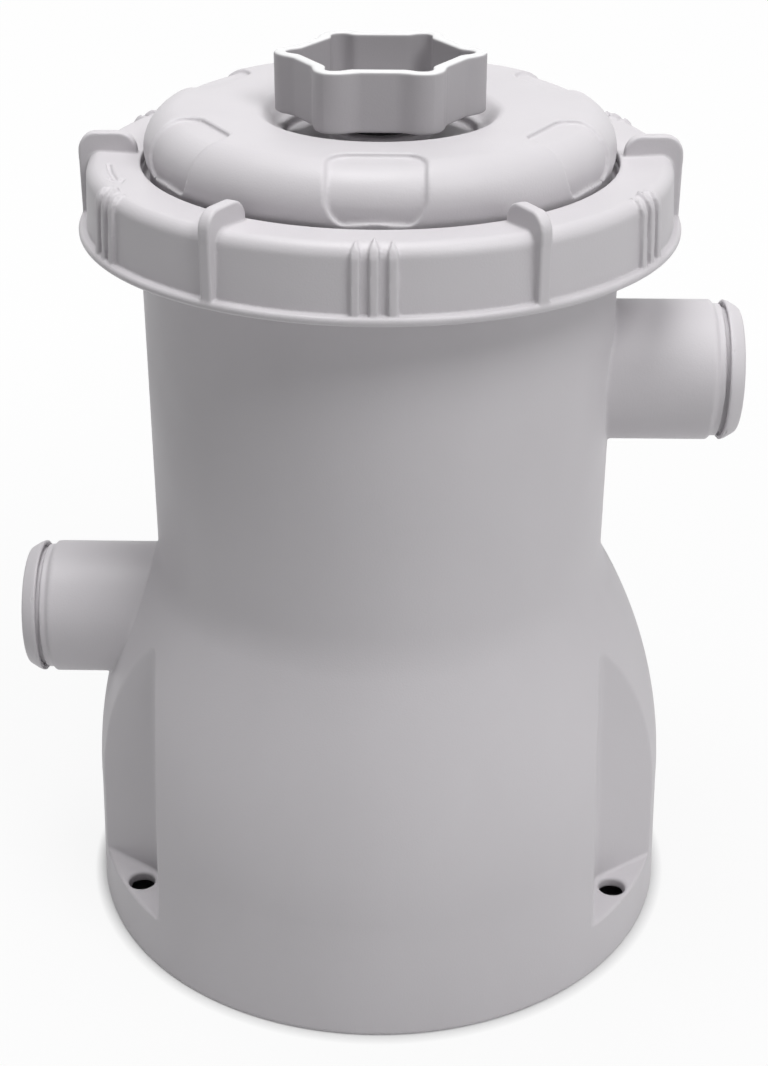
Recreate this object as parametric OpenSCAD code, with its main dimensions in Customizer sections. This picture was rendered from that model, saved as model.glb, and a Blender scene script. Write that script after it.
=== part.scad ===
// Cartridge filter pump for a small pool: a bell-shaped body with two hose ports,
// a screw ring that holds a domed lid, an air-release knob, a paper filter cartridge
// and a canned magnet motor. Millimetres, +Z up, origin on the ground at the body's axis.
// The front, where the two fixing pockets are, faces -Y.

/* [Body] */
// Radius of the body at the ground
base_r = 71.3; // [70:0.1:76]
// Height of the straight skirt
skirt_h = 30; // [27:0.5:34]
// How far the skirt leans in over its height
skirt_draft = 1; // [0.4:0.1:1.6]
// Radius of the bell-shaped shoulder above the skirt
bell_r = 113; // [100:1:125]
// Radius of the hollow curve between shoulder and neck
neck_fillet_r = 19.4; // [12:0.2:30]
// Outer radius of the neck
neck_r = 52.9; // [52.5:0.1:54]
// Wall of the body moulding
wall = 2.9; // [2.4:0.1:3]
// Height of the retaining ring's flat top
ring_top_z = 187.5; // [184:0.5:195]

/* [Hose ports] */
// Outer radius of both ports, for a 32 mm hose
port_r = 16; // [15:0.1:16.5]
// Bore radius of both ports
port_bore_r = 13; // [12.5:0.1:13.4]
// Height of the inlet port's axis
inlet_z = 136.5; // [130:0.5:142]
// Height of the outlet port's axis
outlet_z = 72.4; // [71.5:0.1:74]
// Reach of the inlet port from the body's axis
inlet_reach = 81.5; // [76:0.5:95]
// Reach of the outlet port from the body's axis
outlet_reach = 85.5; // [82:0.5:98]
// Length of the inlet port that a hose covers, up to its nose
inlet_seat_l = 23.5; // [18:0.5:24]
// Length of the outlet port that a hose covers, up to its nose
outlet_seat_l = 14; // [12:0.5:14]
// Height of the step that stops the hose at a port's root
port_step = 0.25; // [0.2:0.05:0.6]
// Depth of the clamp groove near each port's end
port_groove = 1.1; // [0.5:0.1:1.6]
// Length of the bevelled nose of a port
port_nose = 3; // [2:0.1:4]

/* [Fixing pockets] */
// Distance from a fixing hole's axis to the body's edge: 4.9 puts the holes 115 apart
fixing_edge = 4.9; // [4.2:0.1:5.6]
// Radius of a fixing hole
fixing_hole_r = 3.2; // [2.6:0.1:3.6]
// How far forward of the side each pocket sits, in degrees
pocket_forward = 30; // [25:1:35]
// Height of the pocket's floor
pocket_floor_z = 14; // [10:0.5:18]
// Thickness of the pocket's floor
pocket_floor_t = 3; // [2:0.1:4]
// Radius of the pocket's inner corner
pocket_r = 4.5; // [4:0.1:5]
// Half the opening angle of the pocket, in degrees
pocket_half_angle = 65.7; // [60:0.1:70]
// How far the pocket's walls lean in, in degrees
pocket_lean = 2.5; // [1.5:0.1:3]

/* [Retaining ring] */
// Radius of the bead along the ring's lower edge
bead_r = 65.9; // [65.4:0.1:67]
// Height of that bead
bead_h = 2.2; // [1.6:0.1:3]
// Outer radius of the ring's wall at the bead
ring_r = 64.2; // [63.6:0.1:64.6]
// How far the ring's wall leans in up to its top
ring_draft = 0.9; // [0.4:0.1:1.2]
// Inner radius of the ring's wall
ring_inner_r = 60.3; // [60:0.1:60.8]
// Radius of the hole in the ring's top
ring_mouth_r = 54.5; // [53.6:0.1:55.2]
// Height of the ring from its lower edge to its flat top
ring_h = 15.9; // [15:0.1:18]
// Thickness of the ring's top plate
ring_top_t = 3.5; // [3:0.1:4]
// Rounding of the ring's outer top edge
ring_round = 2.6; // [1.5:0.1:3]
// Number of grip fins around the ring
fin_count = 6; // [4:1:8]
// Thickness of a grip fin
fin_t = 2.5; // [2:0.1:3.5]
// Radius of the round ear on top of a fin
fin_ear_r = 5; // [4.4:0.1:5.5]
// Height of the ear above the ring's top
fin_rise = 4.3; // [3:0.1:5]
// Width of one grip rib
rib_w = 1.35; // [1:0.05:2]
// Distance between the ribs of a group
rib_pitch = 3.5; // [2.5:0.1:5]

/* [Lid] */
// Outer radius of the lid's dome
dome_r = 50.4; // [50:0.1:51]
// Radius at which the dome is highest
crest_r = 35.6; // [34:0.1:37]
// Height of the dome's crest above the ring's top
crest_rise = 10.4; // [10:0.1:13]
// Rounding of the dome's outer shoulder
dome_round = 12; // [10:0.2:13]
// Radius of the crater around the knob
crater_r = 25; // [24:0.1:27]
// Depth of the crater below the crest
crater_depth = 5.4; // [4.5:0.1:5.5]
// Wall of the lid
lid_wall = 2.4; // [1.8:0.1:2.6]
// Thickness of the lid's flange under the ring
lid_flange_t = 3.5; // [3.2:0.1:4]
// Depth of the finger pads pressed into the dome
pad_depth = 0.8; // [0.4:0.1:1.2]
// Width of a finger pad
pad_w = 21; // [16:0.5:24]
// Length of a finger pad along the dome
pad_l = 15.5; // [12:0.5:17]

/* [Air-release knob] */
// Radius of the knob to the tips of its lobes
knob_r = 22.6; // [21:0.1:23.5]
// Distance of the knob's flat sides from its axis
knob_flat = 18.7; // [18:0.1:19.5]
// Radius of one lobe
knob_lobe_r = 4.6; // [4:0.1:5]
// Height of the knob
knob_h = 12.4; // [9:0.1:16]
// Wall of the knob
knob_wall = 2.5; // [1.6:0.1:3]
// Number of lobes on the knob
knob_lobes = 6; // [5:1:8]
// Radius of the knob's stem
stem_r = 5; // [4:0.1:6]
// Gap between the crater's floor and the hub, filled by the ring seal
knob_seal_t = 1.8; // [1.2:0.1:2.4]
// How far the knob rises when it is opened
knob_rise = 1.8; // [1:0.1:2.4]

/* [Filter cartridge] */
// Outer radius of the cartridge
cartridge_r = 45; // [42:0.5:45.5]
// Height of the cartridge
cartridge_h = 100; // [96:0.5:101]
// Radius of the hole through the cartridge
cartridge_hole_r = 20; // [18:0.5:23]
// Thickness of each end cap
cap_t = 4; // [3:0.5:6]
// Number of paper pleats
pleat_count = 48; // [36:1:60]
// Thickness of one folded pleat
pleat_t = 1.5; // [1:0.1:1.8]

/* [Pump and motor] */
// Distance from the body's outside at the ground to the motor pot
pot_inset = 15.3; // [15.1:0.1:15.7]
// Wall of the motor pot
pot_wall = 2.5; // [2:0.1:2.8]
// Thickness of the base plate
plate_t = 4; // [3.4:0.1:5]
// Radius of the magnet
magnet_r = 9; // [8:0.1:9.5]
// Length of the magnet
magnet_l = 30; // [24:0.5:32]
// Radius of the shaft
shaft_r = 1.5; // [1.2:0.1:2]
// Radius of the impeller
impeller_r = 22; // [18:0.5:26]
// Height of the impeller's vanes
vane_h = 9; // [6:0.5:10]
// Number of vanes on the impeller
vane_count = 6; // [5:1:8]
// Inner radius of the pump chamber
chamber_r = 30; // [28:0.5:32]
// Radius of the suction eye
eye_r = 11.5; // [10:0.1:12.5]
// Thickness of the stack of laminations
stack_t = 22; // [16:0.5:24]
// Radius of a screw's shank
screw_r = 1.6; // [1.4:0.1:1.8]
// Radius of a screw's head
screw_head_r = 3.1; // [2.8:0.1:3.3]

/* [Cable gland] */
// Height of the gland's axis on the back of the skirt
gland_z = 22; // [17:0.5:25]
// Radius of the gland's barrel
gland_r = 6; // [5.5:0.1:7]
// Radius of the cable hole through the gland
cable_r = 3.3; // [2.8:0.1:3.8]
// How far the gland's nose stands out of the body
gland_out = 10.7; // [8:0.1:18]

/* [Clearances] */
// Gap between pieces that move past each other
run_gap = 0.3; // [0.2:0.05:0.4]
// Radial clearance of a shaft or stem in its bore
bore_gap = 0.05; // [0.02:0.01:0.1]
// Gap around a fixed piece in its seat
seat_gap = 0.15; // [0.1:0.05:0.3]

/* [Hidden] */
$fn = 96;
far = 400;

// Body profile: the shoulder's arc meets the hollow curve at a common tangent
knee_r = base_r - skirt_draft;
bell_x = knee_r - bell_r;
fillet_x = neck_r + neck_fillet_r;
fillet_z = skirt_h + sqrt(pow(bell_r + neck_fillet_r, 2) - pow(fillet_x - bell_x, 2));
fixing_r = base_r - fixing_edge;
pocket_side = 18;

// Inside of the body, from the outlet port outwards
web_t = 3;
web_gap = 1;
deck_top_z = outlet_z - port_bore_r - web_gap;
deck_z = deck_top_z - web_t;
deck_lap = 10;
pot_r = base_r - pot_inset;
deck_hole_r = pot_r - deck_lap;
pot_seal_r = deck_hole_r + 2;
ledge_z = outlet_z + port_bore_r + web_gap;
ledge_t = 2.5;
ledge_w = 3;
neck_bore_r = neck_r - wall;
ledge_hole_r = neck_bore_r - ledge_w;
cover_seal_r = ledge_hole_r + 0.8;
cover_seal_w = 1.4;
ledge_top_z = ledge_z + ledge_t;
split_z = max(fillet_z, ledge_top_z) + 1;
throat_step = 1;
throat_inset = 4;
throat_r = port_bore_r - throat_step;
throat_x = knee_r - throat_inset;
gland_reach = base_r + gland_out;

// Stack under the ring's top
ring_z = ring_top_z - ring_h;
ring_under_z = ring_top_z - ring_top_t;
lid_z = ring_under_z - run_gap - lid_flange_t;
collar_flare_r = ring_inner_r - 1.6;
lid_flange_r = collar_flare_r - 1.2;
seal_w = 2.2;
seal_t = 1.2;
lid_seal_t = 1.6;
spigot_gap = 0.4;
boss_rise = 0.4;
lid_seal_r = (neck_bore_r + lid_flange_r) / 2;

// Lid
crest_z = ring_top_z + crest_rise;
crater_z = crest_z - crater_depth;
dome_x = dome_r - dome_round;

// Motor and pump
pot_top_z = deck_z;
well_wall = 2.5;
well_gap = 1.3;
well_r = magnet_r + well_gap + well_wall;
well_floor_z = 17;
bush_t = 4;
bush_r = 4;
upper_bush_w = 1.7;
magnet_z = well_floor_z + bush_t + run_gap;
stator_z = magnet_z + magnet_l / 2;
core_gap = 0.5;
core_half_w = 28;
core_leg_w = 14;
core_yoke_w = 11;
core_front_y = -16;
core_back_y = sqrt(pow(pot_r - pot_wall - core_gap, 2) - pow(core_half_w, 2));
pole_back_y = 14;
yoke_y = core_back_y - core_yoke_w;
coil_gap = 2;
coil_y = pole_back_y + coil_gap;
coil_l = yoke_y - pole_back_y - 2 * coil_gap;
coil_inset = 2.5;
bobbin_t = 1.5;
bobbin_wall = 2;
bobbin_w = 38;
bobbin_full_h = 30;
bobbin_h = min(bobbin_full_h, 2 * (pot_top_z - pot_wall - stator_z - core_gap));
plate_screw_r = pot_r - 8;
plate_screw_angles = [0, 180, 240, 300];
lug_r = 4.5;
lug_t = 4;
lug_pitch_r = pot_r + 3.5;
lug_count = 4;
impeller_z = deck_top_z + 6;
impeller_t = 2;
vane_t = 1.3;
vane_arc_r = 14;
hub_r = 5;
chamber_floor_t = 2.4;
chamber_wall = 2;
duct_r = throat_r - seat_gap;
duct_wall = 2;
duct_inset = 2.3;
duct_reach = throat_x - duct_inset;
cover_t = 2;
cover_z = ledge_z;
cover_top_z = cover_z + cover_t;
cover_post_inset = 6;
cover_post_r = deck_hole_r - cover_post_inset;
cover_post_count = 4;
eye_wall = 2;
spoke_t = 1.6;
post_r = 4;
head_t = 2.2;
screw_l = 12;
spigot_h = 5;

// Cartridge
cartridge_z = cover_top_z;
core_wall = 1.6;

// Knob, measured up from the crater's floor
hub_top_z = crater_z + knob_seal_t + 2.1;
knob_floor_t = 2.4;
boss_r = 8;
boss_h = 6;
stem_stop_r = stem_r + 1.4;

// Ring of rectangular section between two radii
module ring(inner, outer, z, h) {
    rotate_extrude()
        translate([inner, z])
            square([outer - inner, h]);
}

// Cylinder along +Y
module along_y(r, from, to) {
    translate([0, from, 0])
        rotate([-90, 0, 0])
            cylinder(r = r, h = to - from);
}

// Cylinder along +X
module along_x(r, from, to) {
    translate([from, 0, 0])
        rotate([0, 90, 0])
            cylinder(r = r, h = to - from);
}

// Copies of a shape around the axis
module around(count, start = 0) {
    for (i = [0 : count - 1])
        rotate([0, 0, start + i * 360 / count])
            children();
}

// Half outline of the body, shrunk by a wall and cut off at a height: a polygon through
// the tangent point, with the shoulder's arc added to it and the hollow curve cut from it
module bell_outline(inset, top) {
    share = (bell_r - inset) / (bell_r + neck_fillet_r);
    tangent_x = bell_x + (fillet_x - bell_x) * share;
    tangent_z = skirt_h + (fillet_z - skirt_h) * share;
    difference() {
        union() {
            polygon([
                [0, 0],
                [base_r - inset, 0],
                [knee_r - inset, skirt_h],
                [tangent_x, tangent_z],
                [neck_r - inset, fillet_z],
                [neck_r - inset, top],
                [0, top]
            ]);
            intersection() {
                translate([bell_x, skirt_h])
                    circle(r = bell_r - inset, $fn = 360);
                translate([0, skirt_h])
                    square([knee_r, tangent_z - skirt_h]);
            }
        }
        intersection() {
            translate([fillet_x, fillet_z])
                circle(r = neck_fillet_r + inset, $fn = 180);
            translate([0, tangent_z])
                square([knee_r, fillet_z - tangent_z]);
        }
    }
}

module bell(inset, top) {
    rotate_extrude()
        bell_outline(inset, top);
}

// Plan of a fixing pocket: a wedge that opens outwards, with a round inner corner
module pocket_plan(grow) {
    r = pocket_r + grow;
    side = [-sin(pocket_half_angle) * r, cos(pocket_half_angle) * r];
    end = side + pocket_side * [cos(pocket_half_angle), sin(pocket_half_angle)];
    outer = base_r - fixing_r + 4;
    circle(r = r);
    polygon([
        side,
        end,
        [outer, end[1]],
        [outer, -end[1]],
        [end[0], -end[1]],
        [side[0], -side[1]]
    ]);
}

// Space of one pocket above its floor, or with its walls around it
module pocket(grow, floor) {
    below = 30;
    intersection() {
        translate([fixing_r, 0, pocket_floor_z])
            rotate([0, -pocket_lean, 0])
                translate([0, 0, -below])
                    linear_extrude(height = below + outlet_z)
                        pocket_plan(grow);
        translate([0, -far / 2, floor])
            cube([far, far, far]);
    }
}

// Children placed at both fixing pockets
module at_pockets() {
    for (a = [-pocket_forward, 180 + pocket_forward])
        rotate([0, 0, a])
            children();
}

// Hose port along +X, open at both ends: tube, clamp groove, lip and bevelled nose
module port(reach, seat_l) {
    seat = reach - port_nose - seat_l;
    groove_w = 1.2;
    slope = 1;
    lip_w = 0.6;
    lip = reach - port_nose - lip_w;
    groove_end = lip - slope;
    groove_start = groove_end - groove_w;
    rotate([0, 90, 0])
        rotate_extrude()
            polygon([
                [0, 0],
                [port_r + port_step, 0],
                [port_r + port_step, seat - port_step],
                [port_r, seat],
                [port_r, groove_start - slope],
                [port_r - port_groove, groove_start],
                [port_r - port_groove, groove_end],
                [port_r, lip],
                [port_r, lip + lip_w],
                [port_bore_r + 1.2, reach],
                [0, reach]
            ]);
}

// Hollow of the body, less what the moulding carries inside it
module base_hollow() {
    rib_angles = [0, 30, 60, 120, 150, 180, 240, 270, 300];
    rib_t = 2;
    rib_z = 1.5;
    difference() {
        translate([0, 0, -1])
            bell(wall, split_z + 2);
        at_pockets()
            pocket(wall, pocket_floor_z - pocket_floor_t);
        ring(deck_hole_r, base_r, deck_z, web_t);
        ring(ledge_hole_r, base_r, ledge_z, ledge_t);
        around(lug_count, 45)
            translate([lug_pitch_r, 0, deck_z])
                cylinder(r = lug_r, h = screw_l - lug_t + 1);
        for (a = rib_angles)
            rotate([0, 0, a])
                translate([pot_r + 1.8, -rib_t / 2, rib_z])
                    cube([base_r, rib_t, deck_z - rib_z + 1]);
        translate([0, 0, gland_z])
            along_y(gland_r + 3, base_r - 8, base_r);
    }
}

// Lower half of the body: skirt, bell and the shelves that carry motor and chamber
module housing_base() {
    color([0.72, 0.72, 0.73])
        difference() {
            union() {
                bell(0, split_z);
                translate([0, 0, gland_z])
                    along_y(gland_r + 4, base_r - 10, base_r + boss_rise);
            }
            base_hollow();
            at_pockets()
                pocket(0, pocket_floor_z);
            at_pockets()
                translate([fixing_r, 0, 0])
                    cylinder(r = fixing_hole_r, h = pocket_floor_z + 1);
            translate([0, 0, outlet_z])
                along_x(throat_r, -far, 6 - deck_hole_r);
            translate([0, 0, gland_z])
                along_y(gland_r + seat_gap, base_r - 20, base_r + 5);
            around(lug_count, 45)
                translate([lug_pitch_r, 0, deck_z - 1])
                    cylinder(r = screw_r + bore_gap, h = screw_l - lug_t + 1);
            cover_groove();
        }
}

// Upper half of the body: the wall around the cartridge, with the rim that carries the lid
module housing_neck() {
    color([0.72, 0.72, 0.73])
        difference() {
            rotate_extrude()
                polygon([
                    [neck_bore_r, split_z],
                    [neck_r, split_z],
                    [neck_r, ring_z],
                    [collar_flare_r, ring_z + 3],
                    [collar_flare_r, lid_z],
                    [neck_bore_r, lid_z]
                ]);
            translate([0, 0, inlet_z])
                along_x(port_bore_r, 0, inlet_reach + 1);
        }
}

module inlet_port() {
    color([0.72, 0.72, 0.73])
        difference() {
            translate([0, 0, inlet_z])
                port(inlet_reach, inlet_seat_l);
            cylinder(r = neck_r, h = lid_z);
            translate([0, 0, inlet_z])
                along_x(port_bore_r, 0, inlet_reach + 1);
        }
}

module outlet_port() {
    color([0.72, 0.72, 0.73])
        difference() {
            translate([0, 0, outlet_z])
                rotate([0, 0, 180])
                    port(outlet_reach, outlet_seat_l);
            bell(0, lid_z);
            translate([0, 0, outlet_z])
                along_x(throat_r, -outlet_reach - 1, 0);
            translate([0, 0, outlet_z])
                along_x(port_bore_r, -outlet_reach - 1, -throat_x);
        }
}

// Groove for the chamber cover's seal, or the seal itself
module cover_groove(extra = 1) {
    ring(cover_seal_r, cover_seal_r + cover_seal_w, ledge_top_z - seal_t, seal_t + extra);
}

module base_plate() {
    color([0.2, 0.2, 0.21])
        difference() {
            cylinder(r = pot_r, h = plate_t);
            for (a = plate_screw_angles)
                rotate([0, 0, a])
                    translate([plate_screw_r, 0, -1]) {
                        cylinder(r = screw_head_r + seat_gap, h = head_t + 1.2);
                        cylinder(r = screw_r + seat_gap, h = plate_t + 2);
                    }
        }
}

// Screw pointing up from the underside of what it holds
module screw(length) {
    cylinder(r = screw_head_r, h = head_t);
    translate([0, 0, head_t])
        cylinder(r = screw_r, h = length);
}

module base_screws() {
    color([0.7, 0.7, 0.7])
        for (a = plate_screw_angles)
            rotate([0, 0, a])
                translate([plate_screw_r, 0, 0.2])
                    screw(screw_l);
}

module pot_screws() {
    color([0.7, 0.7, 0.7])
        around(lug_count, 45)
            translate([lug_pitch_r, 0, pot_top_z - lug_t - head_t])
                screw(screw_l);
}

// Watertight cup that hangs under the deck, with the rotor well and screw posts
module motor_pot() {
    color([0.25, 0.25, 0.27])
        difference() {
            union() {
                difference() {
                    translate([0, 0, plate_t])
                        cylinder(r = pot_r, h = pot_top_z - plate_t);
                    cylinder(r = pot_r - pot_wall, h = pot_top_z - pot_wall);
                }
                for (a = plate_screw_angles)
                    rotate([0, 0, a])
                        translate([plate_screw_r, 0, plate_t])
                            cylinder(r = post_r, h = pot_top_z - plate_t - 1);
                translate([0, 0, well_floor_z - well_wall])
                    cylinder(r = well_r, h = pot_top_z - well_floor_z + well_wall);
                around(lug_count, 45)
                    translate([pot_r - 4, -lug_r, pot_top_z - lug_t])
                        cube([lug_pitch_r - pot_r + 4, 2 * lug_r, lug_t]);
                around(lug_count, 45)
                    translate([lug_pitch_r, 0, pot_top_z - lug_t])
                        cylinder(r = lug_r, h = lug_t);
            }
            translate([0, 0, well_floor_z])
                cylinder(r = well_r - well_wall, h = pot_top_z);
            around(lug_count, 45)
                translate([lug_pitch_r, 0, 0])
                    cylinder(r = screw_r + seat_gap, h = far);
            for (a = plate_screw_angles)
                rotate([0, 0, a])
                    translate([plate_screw_r, 0, 0])
                        cylinder(r = screw_r + bore_gap, h = screw_l + 3);
            ring(pot_seal_r, pot_seal_r + seal_w, pot_top_z - seal_t, seal_t + 1);
            translate([0, 0, gland_z])
                along_y(gland_r + seat_gap, pot_r - 10, pot_r + 5);
        }
}

module pot_seal() {
    color([0.1, 0.1, 0.1])
        ring(pot_seal_r, pot_seal_r + seal_w, pot_top_z - seal_t, seal_t);
}

// U-shaped stack of laminations whose two poles embrace the rotor well
module stator_core() {
    color([0.45, 0.45, 0.48])
        translate([0, 0, stator_z - stack_t / 2])
            linear_extrude(height = stack_t)
                difference() {
                    translate([-core_half_w, core_front_y])
                        square([2 * core_half_w, core_back_y - core_front_y]);
                    translate([-core_leg_w / 2, core_front_y - 1])
                        square([core_leg_w, pole_back_y - core_front_y + 2]);
                    translate([core_leg_w - core_half_w, pole_back_y])
                        square([2 * (core_half_w - core_leg_w), yoke_y - pole_back_y]);
                    circle(r = well_r + run_gap);
                }
}

// Children placed around both legs of the core
module at_legs() {
    for (s = [-1, 1])
        translate([s * (core_half_w - core_leg_w / 2), coil_y, stator_z])
            children();
}

// Rectangular block around a leg, from y to y + l
module leg_block(w, h, y, l) {
    translate([-w / 2, y, -h / 2])
        cube([w, l, h]);
}

module coil_bobbins() {
    color([0.9, 0.9, 0.85])
        at_legs()
            difference() {
                union() {
                    leg_block(core_leg_w + 2 * bobbin_wall, stack_t + 2 * bobbin_wall, 0, coil_l);
                    leg_block(bobbin_w, bobbin_h, 0, bobbin_t);
                    leg_block(bobbin_w, bobbin_h, coil_l - bobbin_t, bobbin_t);
                }
                leg_block(core_leg_w + 2 * seat_gap, stack_t + 2 * seat_gap, -1, coil_l + 2);
            }
}

module coil_windings() {
    color([0.72, 0.4, 0.2])
        at_legs()
            difference() {
                leg_block(bobbin_w - 2 * coil_inset, bobbin_h - 1, bobbin_t, coil_l - 2 * bobbin_t);
                leg_block(core_leg_w + 2 * bobbin_wall, stack_t + 2 * bobbin_wall, 0, coil_l);
            }
}

// Resin that beds the stator and closes the motor from below
module motor_potting() {
    top = stator_z - max(stack_t, bobbin_h) / 2 - seat_gap;
    color([0.12, 0.12, 0.13])
        difference() {
            translate([0, 0, plate_t])
                cylinder(r = pot_r - pot_wall, h = top - plate_t);
            for (a = plate_screw_angles)
                rotate([0, 0, a])
                    translate([plate_screw_r, 0, 0])
                        cylinder(r = post_r, h = far);
            translate([0, 0, well_floor_z - well_wall])
                cylinder(r = well_r, h = far);
        }
}

module lower_bush() {
    color([0.15, 0.15, 0.15])
        difference() {
            translate([0, 0, well_floor_z])
                cylinder(r = well_r - well_wall, h = bush_t / 2);
            translate([0, 0, well_floor_z + 1])
                cylinder(r = shaft_r + bore_gap, h = far);
        }
    color([0.15, 0.15, 0.15])
        ring(shaft_r + bore_gap, bush_r, well_floor_z + bush_t / 2, bush_t / 2);
}

// Height of the bush above the impeller, held by the spokes in the suction eye
function upper_bush_z() = impeller_z + impeller_t + vane_h + 1.5;

module upper_bush() {
    color([0.15, 0.15, 0.15])
        ring(shaft_r + bore_gap, shaft_r + upper_bush_w, upper_bush_z(), bush_t);
}

module rotor_shaft() {
    color([0.93, 0.93, 0.9])
        translate([0, 0, well_floor_z + 1])
            cylinder(r = shaft_r, h = upper_bush_z() + bush_t - well_floor_z - 1);
}

module rotor_magnet() {
    color([0.3, 0.3, 0.3])
        ring(shaft_r + bore_gap, magnet_r, magnet_z, magnet_l);
}

// Vane as a slice of a tube whose wall passes through the axis
module vane() {
    intersection() {
        translate([0, vane_arc_r])
            difference() {
                circle(r = vane_arc_r + vane_t / 2);
                circle(r = vane_arc_r - vane_t / 2);
            }
        difference() {
            circle(r = impeller_r - 0.5);
            circle(r = hub_r - 0.5);
        }
        translate([0, -1])
            square([impeller_r, impeller_r + 1]);
    }
}

module impeller() {
    hub_z = magnet_z + magnet_l;
    color([0.85, 0.85, 0.82])
        difference() {
            union() {
                translate([0, 0, hub_z])
                    cylinder(r = hub_r, h = impeller_z + impeller_t + vane_h - hub_z);
                translate([0, 0, impeller_z])
                    cylinder(r = impeller_r, h = impeller_t);
                translate([0, 0, impeller_z])
                    linear_extrude(height = impeller_t + vane_h)
                        around(vane_count)
                            vane();
            }
            translate([0, 0, hub_z - 1])
                cylinder(r = shaft_r + bore_gap, h = far);
        }
}

// Round pump chamber with a straight duct into the outlet port
module pump_chamber() {
    color([0.3, 0.3, 0.32])
        difference() {
            union() {
                translate([0, 0, pot_top_z])
                    cylinder(r = deck_hole_r - seat_gap, h = chamber_floor_t);
                translate([0, 0, pot_top_z])
                    cylinder(r = chamber_r + chamber_wall, h = cover_z - pot_top_z);
                translate([0, 0, outlet_z])
                    along_x(duct_r, -duct_reach, -chamber_r);
                around(cover_post_count, 45)
                    translate([cover_post_r, 0, pot_top_z])
                        cylinder(r = post_r, h = cover_z - pot_top_z);
            }
            translate([0, 0, pot_top_z + chamber_floor_t])
                cylinder(r = chamber_r, h = far);
            cylinder(r = well_r - well_wall, h = far);
            translate([0, 0, outlet_z])
                along_x(duct_r - duct_wall, -duct_reach - 1, -chamber_r + 4);
            around(cover_post_count, 45)
                translate([cover_post_r, 0, cover_top_z - screw_l])
                    cylinder(r = screw_r + bore_gap, h = far);
        }
}

// Floor of the filter chamber, with the suction eye and the spigot for the cartridge
module chamber_cover() {
    spigot_r = cartridge_hole_r - spigot_gap;
    flange_r = neck_bore_r - spigot_gap;
    rim_r = cartridge_r + 0.5;
    color([0.3, 0.3, 0.32])
        difference() {
            union() {
                translate([0, 0, cover_z])
                    cylinder(r = ledge_hole_r - seat_gap, h = cover_t);
                ring(rim_r, ledge_hole_r - seat_gap, cover_z, ledge_t + 2);
                ring(rim_r, flange_r, ledge_top_z, 2);
                ring(spigot_r - 2, spigot_r, cover_z, cover_t + spigot_h);
                translate([0, 0, upper_bush_z() - 0.5])
                    cylinder(r = eye_r + eye_wall, h = cover_top_z - upper_bush_z() + 0.5);
            }
            difference() {
                cylinder(r = eye_r, h = far);
                around(3)
                    translate([0, -spoke_t / 2, upper_bush_z()])
                        cube([eye_r + 1, spoke_t, bush_t]);
                translate([0, 0, upper_bush_z()])
                    cylinder(r = shaft_r + 2 * upper_bush_w, h = bush_t);
            }
            cylinder(r = shaft_r + upper_bush_w, h = far);
            around(cover_post_count, 45)
                translate([cover_post_r, 0, cover_top_z - cover_t])
                    cylinder(r1 = screw_r + bore_gap, r2 = screw_head_r, h = cover_t);
        }
}

module cover_screws() {
    color([0.7, 0.7, 0.7])
        around(cover_post_count, 45)
            translate([cover_post_r, 0, 0]) {
                translate([0, 0, cover_z])
                    cylinder(r1 = screw_r, r2 = screw_head_r - bore_gap, h = cover_t);
                translate([0, 0, cover_top_z - screw_l])
                    cylinder(r = screw_r, h = screw_l - cover_t);
            }
}

module cover_seal() {
    color([0.1, 0.1, 0.1])
        cover_groove(0);
}

module cable_gland() {
    seat_y = base_r + boss_rise;
    inner_y = pot_r - pot_wall;
    nut_t = 3;
    color([0.12, 0.12, 0.12])
        translate([0, 0, gland_z])
            difference() {
                union() {
                    along_y(gland_r, inner_y, seat_y + 1);
                    along_y(gland_r + 2.5, seat_y, seat_y + nut_t);
                    translate([0, seat_y + nut_t, 0])
                        rotate([-90, 0, 0])
                            cylinder(r1 = gland_r, r2 = cable_r + 1.4,
                                     h = gland_reach - seat_y - nut_t);
                }
                along_y(cable_r, inner_y - 1, gland_reach + 1);
            }
}

module cartridge_core() {
    slot_w = 5;
    slot_h = 9;
    rows = floor((cartridge_h - 2 * cap_t - 4) / (slot_h + 4));
    color([0.93, 0.93, 0.92])
        difference() {
            ring(cartridge_hole_r, cartridge_hole_r + core_wall,
                 cartridge_z + cap_t, cartridge_h - 2 * cap_t);
            for (i = [0 : rows - 1])
                around(8)
                    translate([0, -slot_w / 2, cartridge_z + cap_t + 4 + i * (slot_h + 4)])
                        cube([far, slot_w, slot_h]);
        }
}

// Pleated paper as a ring of narrow folds
module cartridge_media() {
    inner = cartridge_hole_r + core_wall + run_gap;
    outer = cartridge_r - 1.5;
    step = 360 / pleat_count;
    root = step / 2 - 0.25;
    tip = asin(pleat_t / 2 / outer);
    fold = [[inner + 1.2, -root], [outer, -tip], [outer, tip], [inner + 1.2, root]];
    color([0.95, 0.95, 0.94])
        translate([0, 0, cartridge_z + cap_t])
            linear_extrude(height = cartridge_h - 2 * cap_t)
                difference() {
                    polygon([
                        for (i = [0 : pleat_count - 1])
                            for (p = fold)
                                p[0] * [cos(i * step + p[1]), sin(i * step + p[1])]
                    ]);
                    circle(r = inner);
                }
}

module cartridge_cap_top() {
    color([0.3, 0.45, 0.75])
        ring(cartridge_hole_r, cartridge_r, cartridge_z + cartridge_h - cap_t, cap_t);
}

module cartridge_cap_bottom() {
    color([0.3, 0.45, 0.75])
        ring(cartridge_hole_r, cartridge_r, cartridge_z, cap_t);
}

// Half outline of the lid's dome above the flange, shrunk by a wall
module dome_outline(inset) {
    shoulder_z = crest_z - dome_round;
    translate([0, lid_z])
        square([dome_r - inset, shoulder_z - lid_z]);
    translate([dome_x, shoulder_z])
        circle(r = dome_round - inset);
    translate([0, lid_z])
        square([dome_x, crest_z - inset - lid_z]);
}

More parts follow.
